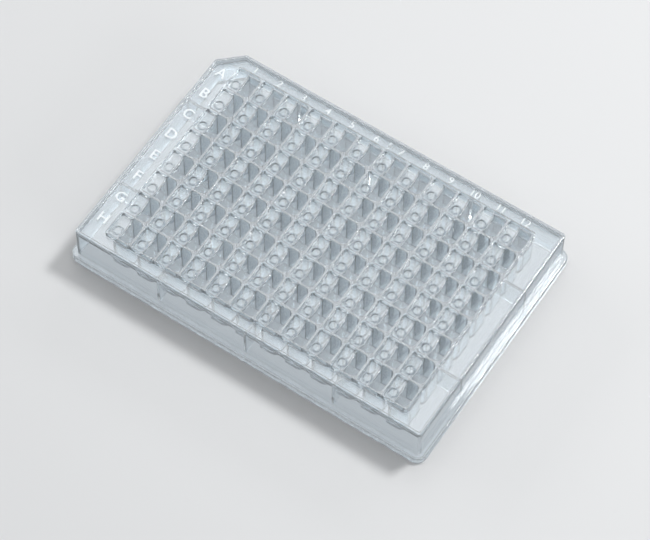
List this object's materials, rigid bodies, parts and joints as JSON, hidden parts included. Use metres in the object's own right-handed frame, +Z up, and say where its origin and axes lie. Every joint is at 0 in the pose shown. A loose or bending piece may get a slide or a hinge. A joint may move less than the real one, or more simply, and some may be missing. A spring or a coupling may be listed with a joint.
{
  "type": "well plate",
  "caption": "Clear flat microplate with a grid of square cells, each with a small lipped drop well on a shelf beside a deep reservoir, for growing crystals.",
  "frame": {"origin": "middle of the foot flange's underside", "axes": "+Z up out of the cells, +X along the rows of cells from the first column to the last, +Y towards the first row; the cut corner is at -X and +Y"},
  "size_m": [0.1278, 0.0854, 0.0153],
  "materials": {
    "clear_plastic": "clear polystyrene, polished by the mould"
  },
  "bodies": {
    "root": {"well_plate": "clear_plastic"}
  },
  "joints": []
}
